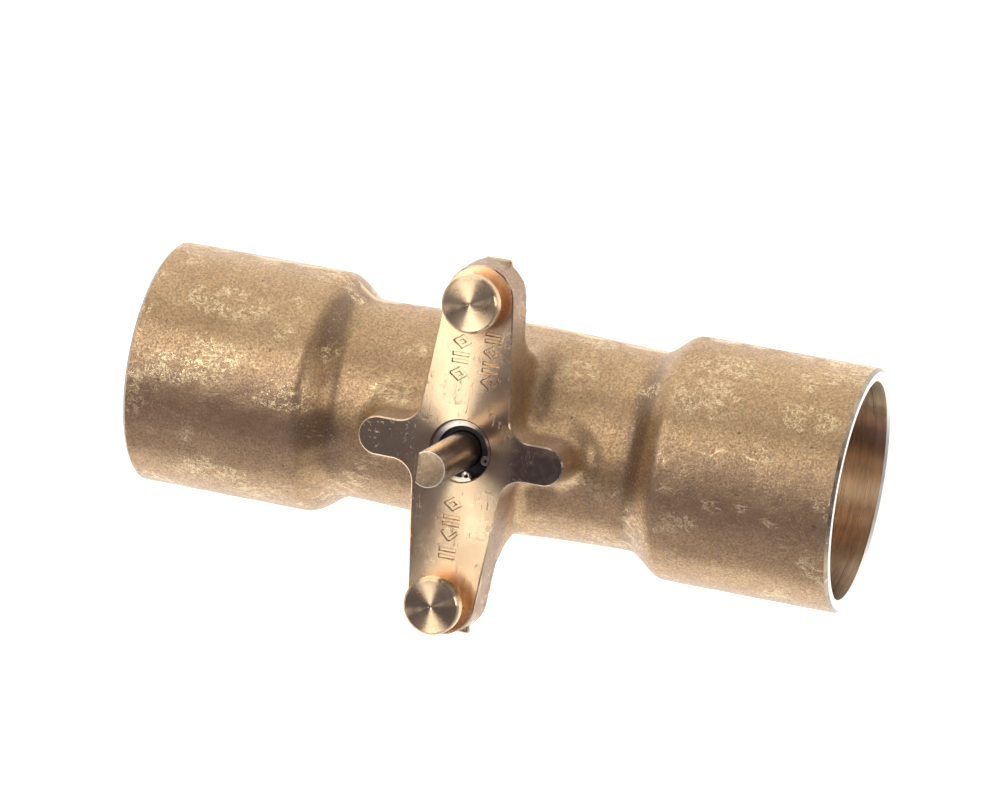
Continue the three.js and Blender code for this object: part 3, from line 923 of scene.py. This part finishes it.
def forged_brass():
    paint = Paint("forged_brass", metallic=0.6, coat_weight=0.16, coat_roughness=0.35)
    x, y, z = paint.parts()
    lean = paint.product(paint.math("ARCTAN2", y, z), 180 / math.pi)

    def spots(places, full):
        shape = 0.0
        for along, reach, around, spread in places:
            spot = paint.product(paint.band(x, along, reach), paint.band(lean, around, spread))
            shape = paint.largest(shape, paint.span(spot, 0.0, full))
        return shape

    away = paint.math("ABSOLUTE", x)
    cloud = paint.noise(11.0, 3, seed=3.1)
    mottle = paint.noise(1.3, 3, seed=7.7)
    grain = paint.noise(0.30, 3, seed=1.3, rough=0.65)
    fine = paint.noise(0.13, 2, seed=9.2)
    colour = paint.mix(paint.span(cloud, 0.38, 0.62), (0.52, 0.328, 0.160), (0.58, 0.373, 0.185))
    colour = paint.shaded(colour, paint.span(mottle, 0.3, 0.7, 0.94, 1.05))
    colour = paint.shaded(colour, paint.span(grain, 0.3, 0.7, 0.72, 1.28))
    near_pad = paint.span(z, 14.0, 15.0)
    # Darker patches and spots on the shoulders, darker creases along the pad's lower edge, and painted
    # shade round the pad's root, where the arms shade the neck.
    shoulder = paint.band(away, 21.0, 4.0)
    shoulder_darkening = paint.product(shoulder, paint.patches(0.42, 0.62, 5.0, 4, seed=4.4), 0.6)
    shoulder_darkening = paint.largest(shoulder_darkening, spots(SHOULDER_DARK_SPOTS, 0.75))
    hollow = paint.product(paint.span(paint.edge, 0.40, 0.49, 1.0, 0.0), near_pad)
    pit = paint.product(paint.patches(0.66, 0.72, 0.8, 3, seed=6.6),
                        paint.patches(0.5, 0.6, 7.0, 2, seed=2.9))
    darkening_and_painted_shade = paint.largest(
        paint.product(shoulder_darkening, 0.62), paint.product(hollow, 0.3),
        paint.product(spots(SHADED_ROOTS, 1.0), 0.42), paint.product(pit, 0.8),
    )
    colour = paint.mix(darkening_and_painted_shade, colour, (0.13, 0.08, 0.055))
    # Brown scale on the pad's sides, which no tool has touched.
    scale = paint.product(paint.span(z, 14.5, 16.5),
                          paint.patches(0.3, 0.7, 2.0, 3, seed=9.9, to=(0.6, 1.0)), 0.62)
    colour = paint.mix(scale, colour, (0.26, 0.155, 0.11))
    # Bright bare metal where the casting has rubbed: thin broken strokes gathered in patches.
    stroke = paint.noise(0.75, 4, seed=2.2, distort=0.5, rough=0.65)
    cross_stroke = paint.noise(0.7, 4, seed=12.6, distort=0.6, rough=0.65, stretch=(2.5, 1, 1))
    patch = paint.patches(0.57, 0.63, 6.5, 3, seed=5.8)
    wide_patch = paint.patches(0.59, 0.66, 9.0, 3, seed=15.1)
    broken = paint.patches(0.43, 0.50, 2.2, 3, seed=4.9)
    patch = paint.largest(patch, paint.product(spots(RUBBED_SPOTS, 0.3), broken))
    scuff = paint.largest(paint.product(paint.band(stroke, 0.455, 0.055), patch),
                          paint.product(paint.band(cross_stroke, 0.56, 0.045), wide_patch))
    # One long ragged bright band along each socket's crest.
    wobble = paint.product(paint.noise(5.0, 4, seed=21.0), 14)
    crest = paint.product(paint.band(paint.total(lean, wobble), 25, 1.1), paint.band(away, 35, 9.5),
                          paint.patches(0.44, 0.5, 1.2, 3, seed=17.0))
    crest = paint.span(crest, 0.1, 0.8, 0.0, 0.55)
    # Painted glints: small bright specks in bare metal's colour, scattered in patches.
    glint_speck = paint.product(paint.patches(0.60, 0.68, 0.30, 2, seed=8.8),
                          paint.patches(0.40, 0.62, 5.0, 2, seed=1.9))
    # Ground-off flash along the parting line, and the two tabs at the long arms' tips.
    strip = paint.product(paint.band(z, 0.0, 1.1), paint.patches(0.42, 0.52, 4.0, 3, seed=3.7))
    past_tip = paint.span(paint.math("ABSOLUTE", y), ARM_TIP_Y + 0.05, ARM_TIP_Y + 0.25)
    tab = paint.product(paint.band(z, ARM_UNDERSIDE_Z + 0.5, 1.2), past_tip)
    rim = paint.product(paint.span(paint.edge, 0.53, 0.60), near_pad)
    # Bright bare metal at scuffs, worn edges, ground flash and tabs, together with the painted glints
    # and the crest band.
    bare_and_glints = paint.largest(
        scuff, crest, paint.product(glint_speck, 0.45), paint.product(rim, 0.6),
        paint.product(strip, 0.7), paint.product(tab, 0.6),
    )
    colour = paint.mix(bare_and_glints, colour, (1.0, 0.775, 0.43))
    rough = paint.span(grain, 0.3, 0.7, 0.47, 0.33)
    rough = paint.math("SUBTRACT", rough, paint.product(bare_and_glints, 0.15))
    normal = paint.bump(grain, 0.038)
    normal = paint.bump(fine, 0.010, over=normal)
    normal = paint.bump(bare_and_glints, -0.008, over=normal)
    return paint.set(base_color=colour, roughness=rough, normal=normal)


def faced_brass():
    """The pad's face, turned about the stem's axis on a lathe."""
    paint = Paint("faced_brass", anisotropic=1.0)
    x, y = paint.parts()[:2]
    marks = paint.tool_marks(paint.radius(), 0.09)
    tone = paint.noise(3.0, 3, seed=2.5)
    colour = paint.mix(paint.span(tone, 0.35, 0.65), (0.92, 0.655, 0.39), (0.98, 0.735, 0.45))
    # Painted reflection and shade of the studs' heads: an orange-brown ring round each stud, strongest
    # on the +X side.
    beside = paint.math("SUBTRACT", paint.math("ABSOLUTE", y), STUD_Y)
    stud_reflection_tint = paint.product(paint.span(paint.length(x, beside), 4.0, 5.6, 0.7, 0.0),
                         paint.span(tone, 0.2, 0.6, 0.7, 1.0), paint.span(x, -2.0, 1.5, 0.25, 1.0))
    colour = paint.mix(stud_reflection_tint, colour, (0.58, 0.32, 0.17))
    # The short arms are painted darker in patches, the outlet's more than the inlet's: painted shade for
    # the dark reflection they show.
    painted_arm_shade = paint.product(paint.span(paint.math("ABSOLUTE", x), 5.5, 8.0),
                         paint.patches(0.3, 0.6, 1.1, 4, seed=5.3, to=(0.6, 1.0)),
                         paint.span(x, -6.0, 6.0, 0.10, 0.8))
    colour = paint.mix(painted_arm_shade, colour, (0.26, 0.19, 0.165))
    streak = paint.noise(2.6, 3, seed=3.3, stretch=(0.25, 2.4, 1), distort=0.4)
    scratch = paint.product(paint.band(streak, 0.46, 0.010), paint.patches(0.50, 0.62, 2.2, 2, seed=6.1))
    smudge = paint.product(paint.patches(0.55, 0.68, 0.9, 4, seed=8.1),
                           paint.patches(0.48, 0.62, 4.0, 2, seed=1.4))
    spoiled = paint.largest(scratch, paint.product(smudge, 0.6))
    colour = paint.mix(paint.product(spoiled, 0.6), colour, (0.35, 0.22, 0.12))
    rough = paint.span(tone, 0.3, 0.7, 0.21, 0.26)
    rough = paint.total(rough, paint.product(spoiled, 0.22))
    # Small nicks on the short arm at the inlet, which catch the light.
    nick = paint.product(paint.span(x, -5.5, -7.5),
                         paint.patches(0.59, 0.66, 0.55, 3, seed=31.0, distort=0.5, to=(0.0, 0.8)),
                         paint.patches(0.42, 0.55, 2.4, 2, seed=12.0))
    colour = paint.mix(nick, colour, (0.97, 0.88, 0.72))
    rough = paint.total(rough, paint.product(nick, 0.35))
    normal = paint.bump(marks, 0.003)
    normal = paint.bump(nick, -0.012, over=normal)
    normal = paint.bump(spoiled, -0.01, over=normal)
    return paint.set(base_color=colour, roughness=rough, normal=normal,
                     tangent=paint.turned_tangent())


def bored_brass():
    """Inside of the flow bore: tool rings on reddish brass, with bands of painted shade and painted
    light along it.
    """
    paint = Paint("bored_brass", anisotropic=0.9)
    x, y = paint.parts()[:2]
    marks = paint.tool_marks(x, 0.22)
    wide = paint.tool_marks(x, 2.4, seed=5.0)
    tone = paint.noise(6.0, 3, seed=1.1)
    colour = paint.mix(paint.span(tone, 0.35, 0.65), (1.0, 0.70, 0.47), (1.0, 0.79, 0.55))
    colour = paint.shaded(colour, paint.span(wide, 0.3, 0.7, 0.85, 1.1))
    # Broad streaks along the bore, painted shade in two bands along it and one band of painted light
    # between them.
    streak = paint.noise(6.0, 2, seed=14.2, stretch=(6, 1, 1))
    colour = paint.mix(paint.span(streak, 0.38, 0.62), paint.shaded(colour, 0.84),
                       paint.shaded(colour, 1.10))
    across = paint.total(y, paint.product(streak, 2.0))
    painted_bore_shade = paint.largest(paint.band(across, 5.0, 5.5), paint.span(y, -8.5, -12.5))
    colour = paint.mix(paint.product(painted_bore_shade, 0.7), colour, paint.shaded(colour, 0.5))
    painted_bore_light = paint.product(paint.band(across, -2.5, 4.0), 0.8)
    colour = paint.mix(painted_bore_light, colour, (1.0, 0.78, 0.50))
    # Fine rings from the tool's feed.
    feed = paint.noise(0.5, 3, seed=6.3, stretch=(1, 9, 9))
    colour = paint.shaded(colour, paint.span(feed, 0.35, 0.65, 0.86, 1.08))
    rough = paint.span(marks, 0.3, 0.7, 0.26, 0.38)
    return paint.set(base_color=colour, roughness=rough, normal=paint.bump(marks, 0.006),
                     tangent=paint.turned_tangent((1, 0, 0)))


def turned_brass(name, light=(0.93, 0.76, 0.46), dark=(0.82, 0.62, 0.34), roughness=0.35,
                 axis=(0, 0, 1), anisotropic=1.0):
    """Bright lathe-turned brass, for pieces turned about their own axis."""
    paint = Paint(name, anisotropic=anisotropic)
    rings = paint.tool_marks(paint.radius(), 0.11)
    threads = paint.tool_marks(paint.parts()[2], 0.14, seed=3.0)
    tone = paint.noise(1.7, 3, seed=4.0)
    colour = paint.mix(paint.span(tone, 0.35, 0.65), dark, light)
    nick = paint.patches(0.62, 0.70, 0.5, 3, seed=2.0)
    worn = paint.product(nick, paint.span(paint.edge, 0.52, 0.6))
    colour = paint.mix(worn, colour, (0.98, 0.90, 0.72))
    rough = paint.span(tone, 0.3, 0.7, roughness - 0.02, roughness + 0.06)
    normal = paint.bump(rings, 0.004)
    normal = paint.bump(threads, 0.005, over=normal)
    return paint.set(base_color=colour, roughness=rough, normal=normal,
                     tangent=paint.turned_tangent(axis))


def stem_brass():
    """Drawn brass bar; its dark brown colour is painted shade for the dark surroundings its side
    mirrors.
    """
    paint = Paint("stem_brass", anisotropic=0.3)
    tone = paint.noise(3.5, 2, seed=4.0)
    draw = paint.noise(0.14, 3, seed=3.0, stretch=(1, 1, 20))
    colour = paint.mix(paint.span(tone, 0.35, 0.65), (0.36, 0.265, 0.195), (0.43, 0.32, 0.235))
    rim = paint.span(paint.edge, 0.54, 0.62)
    colour = paint.mix(paint.product(rim, 0.8), colour, (0.96, 0.84, 0.62))
    rough = paint.span(tone, 0.3, 0.7, 0.24, 0.28)
    return paint.set(base_color=colour, roughness=rough, normal=paint.bump(draw, 0.001),
                     tangent=paint.turned_tangent())


def sheared_brass():
    """The stem's cut tip, finely granular."""
    paint = Paint("sheared_brass")
    grain = paint.noise(0.28, 3, seed=5.5)
    blotch = paint.noise(0.7, 3, seed=8.0)
    colour = paint.mix(paint.span(blotch, 0.35, 0.65), (0.56, 0.40, 0.235), (0.70, 0.51, 0.31))
    colour = paint.mix(paint.span(grain, 0.56, 0.70, 0.0, 0.7), colour, (0.98, 0.86, 0.62))
    rim = paint.span(paint.radius(), STEM_SHANK_R - 0.22, STEM_SHANK_R - 0.12)
    colour = paint.mix(rim, colour, (0.99, 0.88, 0.66))
    return paint.set(base_color=colour, roughness=paint.span(grain, 0.3, 0.7, 0.42, 0.52),
                     normal=paint.bump(grain, 0.006))


def ball_chrome():
    paint = Paint("ball_chrome")
    cloud = paint.noise(5.0, 3, seed=1.0)
    wipe = paint.noise(0.8, 3, seed=2.0, stretch=(6, 1, 1))
    colour = paint.mix(paint.span(cloud, 0.3, 0.7), (0.55, 0.56, 0.57), (0.68, 0.69, 0.70))
    rough = paint.span(wipe, 0.35, 0.65, 0.07, 0.14)
    return paint.set(base_color=colour, roughness=rough, normal=paint.bump(wipe, 0.002))


def polymer(name, size, dark, light, smoothest, roughest, seed=4.0, ior=1.5):
    """Starts a plastic or rubber, and returns it with the noise in its colour."""
    paint = Paint(name, metallic=0.0, ior=ior)
    grain = paint.noise(size, 3, seed=seed)
    colour = paint.mix(paint.span(grain, 0.3, 0.7), dark, light)
    paint.set(base_color=colour, roughness=paint.span(grain, 0.3, 0.7, smoothest, roughest))
    return paint, grain


def seat_polymer():
    paint, _ = polymer("seat_polymer", 2.5, (0.80, 0.79, 0.76), (0.90, 0.89, 0.86), 0.35, 0.5,
                       seed=5.0, ior=1.36)
    marks = paint.tool_marks(paint.parts()[0], 0.25)
    return paint.set(normal=paint.bump(marks, 0.006))


def bushing_polymer():
    paint, _ = polymer("bushing_polymer", 0.5, (0.020, 0.018, 0.017), (0.042, 0.038, 0.036), 0.38, 0.55)
    rings = paint.tool_marks(paint.radius(), 0.2)
    return paint.set(normal=paint.bump(rings, 0.01))


def seal_rubber():
    paint, grain = polymer("seal_rubber", 0.3, (0.012, 0.012, 0.012), (0.028, 0.027, 0.026), 0.5, 0.7)
    return paint.set(normal=paint.bump(grain, 0.008))


def spring_steel():
    paint = Paint("spring_steel", anisotropic=1.0)
    brush = paint.noise(0.25, 3, seed=7.0, stretch=(4, 1, 1))
    cloud = paint.noise(1.5, 3, seed=2.0)
    colour = paint.mix(paint.span(cloud, 0.3, 0.7), (0.76, 0.65, 0.52), (0.92, 0.81, 0.67))
    return paint.set(base_color=colour, roughness=paint.span(brush, 0.3, 0.7, 0.21, 0.27),
                     normal=paint.bump(brush, 0.0004), tangent=paint.turned_tangent())


FORGED_BRASS = forged_brass()
FACED_BRASS = faced_brass()
BORED_BRASS = bored_brass()
# The turned end faces are painted nearly white: a lit copy of the brass, painted light for their
# blown-out highlight.
LIT_END_BRASS = turned_brass("end_brass_painted_light", (0.97, 0.93, 0.84), (0.95, 0.91, 0.82), 0.4, (1, 0, 0), 0.0)
# The end chamfer is painted dark brown: a shaded copy of the brass, painted shade for the dark line it
# shows.
SHADED_CHAMFER_BRASS = turned_brass("chamfer_brass_painted_shade", (0.42, 0.34, 0.25), (0.30, 0.24, 0.17), 0.26,
                             (1, 0, 0), 0.3)
STUD_BRASS = turned_brass("stud_brass", (0.97, 0.73, 0.45), (0.88, 0.63, 0.37), 0.28)
STEM_BRASS = stem_brass()
STEM_TIP = sheared_brass()
RETAINER_BRASS = turned_brass("retainer_brass", axis=(1, 0, 0))
CHROME = ball_chrome()
SEAT_WHITE = seat_polymer()
BUSHING_BLACK = bushing_polymer()
RUBBER = seal_rubber()
STEEL = spring_steel()

# ---- The pieces ----

VOXEL, QUICK_VOXEL = 0.44, 0.8

body = machined_body(VOXEL)
assign_finishes(body)
place("valve_body", body, "housing",
      (FORGED_BRASS, FACED_BRASS, BORED_BRASS, LIT_END_BRASS, SHADED_CHAMFER_BRASS), "forged_brass", angle=38)

place("ball", ball_mesh(), "turning_ball", (CHROME,), "ball_chrome")
for node, sign in (("inlet_seat", -1), ("outlet_seat", 1)):
    seat = turned_mesh(node, seat_profile(sign), 120, "X")
    place(node, seat, "housing", (SEAT_WHITE,), "seat_polymer")
for node in ("inlet_seat_o_ring", "outlet_seat_o_ring", "retainer_o_ring"):
    place(node, o_ring_mesh(node, "X"), "housing", (RUBBER,), "seal_rubber")
place("seat_retainer", retainer_mesh(), "housing", (RETAINER_BRASS,), "turned_brass")

stem = stem_mesh()
tip_from_z = (box_mm("stem")[1].z - 0.2) * MM
for face in stem.polygons:
    face.material_index = int(face.normal.z > 0.3 and face.center.z > tip_from_z)
place("stem", stem, "turning_stem", (STEM_BRASS, STEM_TIP), "turned_brass")
for node in ("stem_lower_o_ring", "stem_upper_o_ring"):
    place(node, o_ring_mesh(node, "Z"), "turning_stem", (RUBBER,), "seal_rubber")
place("stem_thrust_washer", washer_mesh("stem_thrust_washer", bore_r=3.24, edge=0.08), "housing",
      (SEAT_WHITE,), "seat_polymer")
place("stem_guide_bushing", washer_mesh("stem_guide_bushing", bore_r=2.42, edge=0.2), "housing",
      (BUSHING_BLACK,), "bushing_polymer")
place("stem_retaining_ring", clip_mesh(), "housing", (STEEL,), "spring_steel")

for node, sign in (("rear_actuator_stud", 1), ("front_actuator_stud", -1)):
    place(node, stud_mesh(node), "housing", (STUD_BRASS,), "turned_brass",
          at=(0, sign * STUD_Y, 0), angle=20)

# ---- Floor, light and camera ----

FLOOR_Z = BODY_LOW.z


def studio_floor():
    """A pale, back-lit table."""
    paint = Paint("studio_floor", metallic=0.0)
    y = paint.parts()[1]
    paint.set(base_color=(0.6, 0.6, 0.6), roughness=0.6)
    paint.set(emission_color=(1.0, 1.0, 1.0), emission_strength=paint.span(y, -150, 150, 1.5, 0.66))
    half = 3000
    corners = [(-half, -half, 0), (half, -half, 0), (half, half, 0), (-half, half, 0)]
    mesh = mesh_from("studio_floor", corners, [(0, 1, 2, 3)])
    floor = add_object("studio_floor", mesh)
    floor.location = (0, 0, FLOOR_Z * MM)
    floor.data.materials.append(paint.material)


def softbox(name, centre, facing, size, radiance, turn=0.0, colour=(1, 1, 1)):
    """A rectangular lamp of a given surface brightness, centred there and facing that way."""
    data = bpy.data.lights.new(name, "AREA")
    data.shape = "RECTANGLE"
    data.size, data.size_y = size[0] * MM, size[1] * MM
    data.energy = radiance * math.pi * data.size * data.size_y
    data.color = colour
    lamp = add_object(name, data)
    lamp.location = Vector(centre) * MM
    aim = (-Vector(facing)).to_track_quat("Z", "Y")
    lamp.rotation_euler = (aim @ Quaternion((0, 0, 1), math.radians(turn))).to_euler()


def studio_light():
    """Two boxes overhead, which the pad and the studs mirror, and one behind, in front and beside."""
    down = (0, 0, -1)
    cool = (0.95, 0.9, 1.15)
    softbox("near_softbox", (-270, 43, 700), down, (200, 240), 3.6, turn=-7)
    softbox("far_softbox", (-390, 377, 700), down, (550, 425), 3.4)
    softbox("back_softbox", (-450, 800, 230), (0, -1, 0), (1100, 460), 1.15)
    softbox("front_softbox", (-200, -700, 420), (0, 0.86, -0.51), (1000, 420), 0.5, colour=cool)
    softbox("side_softbox", (490, 105, 490), (-0.7, -0.15, -0.7), (240, 240), 4.8)
    world = bpy.data.worlds.new("studio")
    world.use_nodes = True
    background = world.node_tree.nodes["Background"]
    background.inputs["Color"].default_value = (0.95, 0.9, 1.2, 1)
    background.inputs["Strength"].default_value = 0.12
    bpy.context.scene.world = world
    bpy.context.scene.view_settings.view_transform = "Standard"


# Where the camera stands: azimuth from +X towards +Y, elevation and roll in degrees.
VIEW_AZIMUTH = 37.51
VIEW_ELEVATION = 70.75
VIEW_ROLL = -118.5
VIEW_TARGET = Vector((-1.5, 3.0, -0.3))
VIEW_DISTANCE = 685.0
LENS = 187.7


def photo_camera():
    data = bpy.data.cameras.new("photo_camera")
    data.lens = LENS
    camera = add_object("photo_camera", data)
    azimuth, elevation, roll = map(math.radians, (VIEW_AZIMUTH, VIEW_ELEVATION, VIEW_ROLL))
    outwards = Vector((math.cos(azimuth), math.sin(azimuth), 0))
    back = outwards * math.cos(elevation) + Vector((0, 0, math.sin(elevation)))
    level = Vector((0, 0, 1)).cross(back).normalized()
    right = Quaternion(back, roll) @ level
    turn = Matrix((right, back.cross(right), back)).transposed().to_4x4()
    camera.matrix_world = Matrix.Translation((VIEW_TARGET + back * VIEW_DISTANCE) * MM) @ turn
    bpy.context.scene.camera = camera


studio_floor()
studio_light()
photo_camera()

# ---- Last update of the scene ----

bpy.context.view_layer.update()
